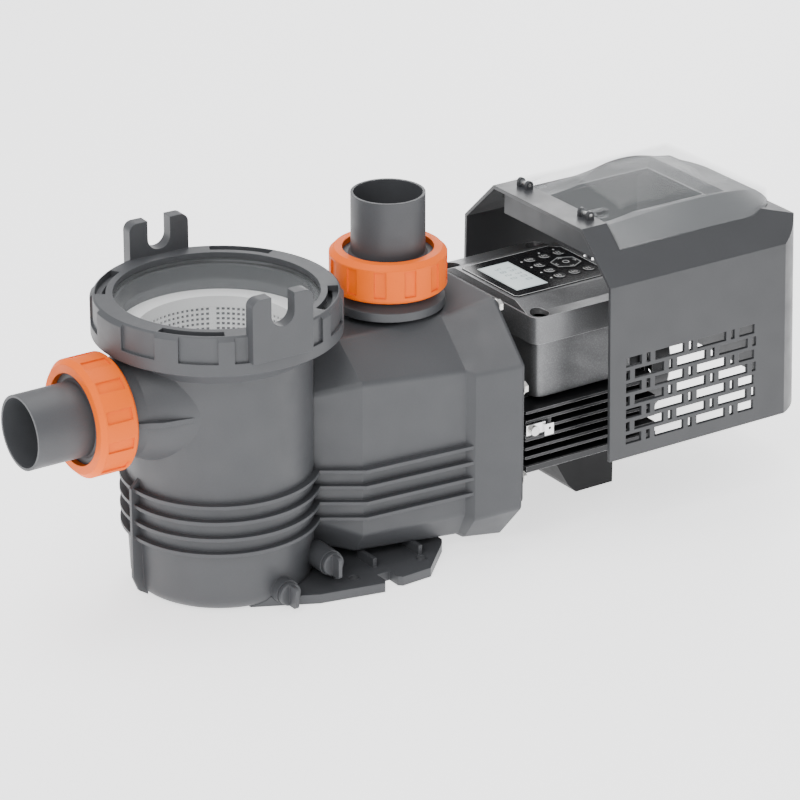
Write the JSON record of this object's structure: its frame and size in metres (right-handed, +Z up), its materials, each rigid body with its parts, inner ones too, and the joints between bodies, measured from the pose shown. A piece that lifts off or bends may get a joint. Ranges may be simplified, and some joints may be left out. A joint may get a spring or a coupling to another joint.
{
  "type": "pool pump",
  "caption": "Variable-speed pool pump: strainer pot with clear lid and locking ring, two union ports, volute, finned motor with keypad drive, and a sliding hood.",
  "frame": {"origin": "on the floor, under the vertical axis of the strainer pot", "axes": "+X from the pot to the motor, +Z up, y = 0 is the plane of symmetry of the pot and ports"},
  "size_m": [0.7074, 0.213, 0.2946],
  "materials": {
    "casing": "moulded, fine grain",
    "clear_lid": "clear moulded plastic",
    "basket_white": "moulded",
    "union_orange": "moulded",
    "pipe_black": "moulded",
    "seal_rubber": "satin",
    "wet_plastic": "moulded",
    "seal_ceramic": "polished",
    "seal_metal": "satin",
    "fastener_steel": "satin",
    "shaft_steel": "ground",
    "lamination": "oiled",
    "winding_copper": "lacquered",
    "motor_black": "satin paint on a casting",
    "foot_black": "moulded",
    "bright_lug": "bright",
    "controller_grey": "moulded",
    "panel_dark": "film",
    "lcd": "glossy",
    "board_green": "lacquered",
    "key_caps": "film",
    "hood_grey": "moulded, fine grain"
  },
  "bodies": {
    "pump": {"strainer_pot": "casing", "volute_casing": "casing", "pump_base": "casing", "seal_plate": "casing", "lid_oring": "seal_rubber", "inlet_oring": "seal_rubber", "outlet_oring": "seal_rubber", "drain_orings": "seal_rubber", "seal_plate_oring": "seal_rubber", "controller_gasket": "seal_rubber", "diffuser": "wet_plastic", "seal_seat": "seal_ceramic", "flange_bolts": "fastener_steel", "motor_tie_bolts": "fastener_steel", "lid_screws": "fastener_steel", "bonding_screw": "fastener_steel", "front_bearing": "shaft_steel", "rear_bearing": "shaft_steel", "stator_core": "lamination", "stator_windings": "winding_copper", "motor_frame": "motor_black", "front_endbell": "motor_black", "rear_endbell": "motor_black", "fan_cover": "motor_black", "motor_foot": "foot_black", "cable_gland": "foot_black", "bonding_lug": "bright_lug", "controller_base": "controller_grey", "controller_lid": "controller_grey", "keypad_overlay": "panel_dark", "lcd_display": "lcd", "circuit_board": "board_green"},
    "rotor": {"motor_shaft": "shaft_steel", "rotor_core": "lamination", "cooling_fan": "foot_black", "impeller": "wet_plastic", "impeller_screw": "fastener_steel", "seal_head": "seal_metal"},
    "lid": {"strainer_lid": "clear_lid"},
    "ring": {"lid_ring": "casing"},
    "basket": {"strainer_basket": "basket_white"},
    "inlet_pipe": {"inlet_tailpiece": "pipe_black"},
    "inlet_union": {"inlet_nut": "union_orange"},
    "outlet_pipe": {"outlet_tailpiece": "pipe_black"},
    "outlet_union": {"outlet_nut": "union_orange"},
    "pot_plug": {"pot_drain_plug": "pipe_black"},
    "volute_plug": {"volute_drain_plug": "pipe_black"},
    "hood": {"hood": "hood_grey", "hinge_pins": "fastener_steel"},
    "dome": {"dome_cover": "clear_lid"},
    "nav": {"nav_pad": "key_caps"},
    "enter": {"enter_key": "key_caps"},
    "key1": {"key_1": "key_caps"},
    "key2": {"key_2": "key_caps"},
    "key3": {"key_3": "key_caps"},
    "key4": {"key_4": "key_caps"},
    "key5": {"key_5": "key_caps"},
    "key6": {"key_6": "key_caps"},
    "key7": {"key_7": "key_caps"},
    "key8": {"key_8": "key_caps"}
  },
  "joints": [
    {"name": "shaft_spin", "type": "hinge", "parent": "pump", "child": "rotor", "pos_m": [0.3, 0, 0.108], "axis": [1, 0, 0], "continuous": true},
    {"name": "lid_lift", "type": "slide", "parent": "pump", "child": "lid", "axis": [0, 0, 1], "range_m": [0, 0.15]},
    {"name": "ring_turn", "type": "hinge", "parent": "lid", "child": "ring", "pos_m": [0, 0, 0.23], "axis": [0, 0, 1], "range_deg": [-2, 45]},
    {"name": "basket_lift", "type": "slide", "parent": "pump", "child": "basket", "axis": [0, 0, 1], "range_m": [0, 0.12]},
    {"name": "inlet_pull", "type": "slide", "parent": "pump", "child": "inlet_pipe", "axis": [-1, 0, 0], "range_m": [0, 0.03]},
    {"name": "inlet_union_turn", "type": "hinge", "parent": "inlet_pipe", "child": "inlet_union", "pos_m": [-0.12, 0, 0.1674], "axis": [-1, 0, 0], "range_deg": [0, 1080]},
    {"name": "outlet_pull", "type": "slide", "parent": "pump", "child": "outlet_pipe", "axis": [0, 0, 1], "range_m": [0, 0.03]},
    {"name": "outlet_union_turn", "type": "hinge", "parent": "outlet_pipe", "child": "outlet_union", "pos_m": [0.1615, 0, 0.24], "axis": [0, 0, 1], "range_deg": [0, 1080]},
    {"name": "pot_plug_turn", "type": "hinge", "parent": "pump", "child": "pot_plug", "pos_m": [0.011, -0.082, 0.0125], "axis": [0, -1, 0], "range_deg": [0, 720]},
    {"name": "volute_plug_turn", "type": "hinge", "parent": "pump", "child": "volute_plug", "pos_m": [0.055, -0.077, 0.025], "axis": [0, -1, 0], "range_deg": [0, 720]},
    {"name": "hood_slide", "type": "slide", "parent": "pump", "child": "hood", "axis": [0.9173, 0, 0.3981], "range_m": [-0.0942, 0.12]},
    {"name": "dome_hinge", "type": "hinge", "parent": "hood", "child": "dome", "pos_m": [0.327, 0, 0.2542], "axis": [0, -1, 0], "range_deg": [0, 90]},
    {"name": "nav_press", "type": "slide", "parent": "pump", "child": "nav", "axis": [0, 0, -1], "range_m": [0, 0.0008], "stiffness_N_per_m": 900},
    {"name": "enter_press", "type": "slide", "parent": "pump", "child": "enter", "axis": [0, 0, -1], "range_m": [0, 0.0008], "stiffness_N_per_m": 900},
    {"name": "key_1_press", "type": "slide", "parent": "pump", "child": "key1", "axis": [0, 0, -1], "range_m": [0, 0.0008], "stiffness_N_per_m": 900},
    {"name": "key_2_press", "type": "slide", "parent": "pump", "child": "key2", "axis": [0, 0, -1], "range_m": [0, 0.0008], "stiffness_N_per_m": 900},
    {"name": "key_3_press", "type": "slide", "parent": "pump", "child": "key3", "axis": [0, 0, -1], "range_m": [0, 0.0008], "stiffness_N_per_m": 900},
    {"name": "key_4_press", "type": "slide", "parent": "pump", "child": "key4", "axis": [0, 0, -1], "range_m": [0, 0.0008], "stiffness_N_per_m": 900},
    {"name": "key_5_press", "type": "slide", "parent": "pump", "child": "key5", "axis": [0, 0, -1], "range_m": [0, 0.0008], "stiffness_N_per_m": 900},
    {"name": "key_6_press", "type": "slide", "parent": "pump", "child": "key6", "axis": [0, 0, -1], "range_m": [0, 0.0008], "stiffness_N_per_m": 900},
    {"name": "key_7_press", "type": "slide", "parent": "pump", "child": "key7", "axis": [0, 0, -1], "range_m": [0, 0.0008], "stiffness_N_per_m": 900},
    {"name": "key_8_press", "type": "slide", "parent": "pump", "child": "key8", "axis": [0, 0, -1], "range_m": [0, 0.0008], "stiffness_N_per_m": 900}
  ],
  "couplings": [
    {"joint": "basket_lift", "follows": "lid_lift", "ratio": 0.6}
  ]
}
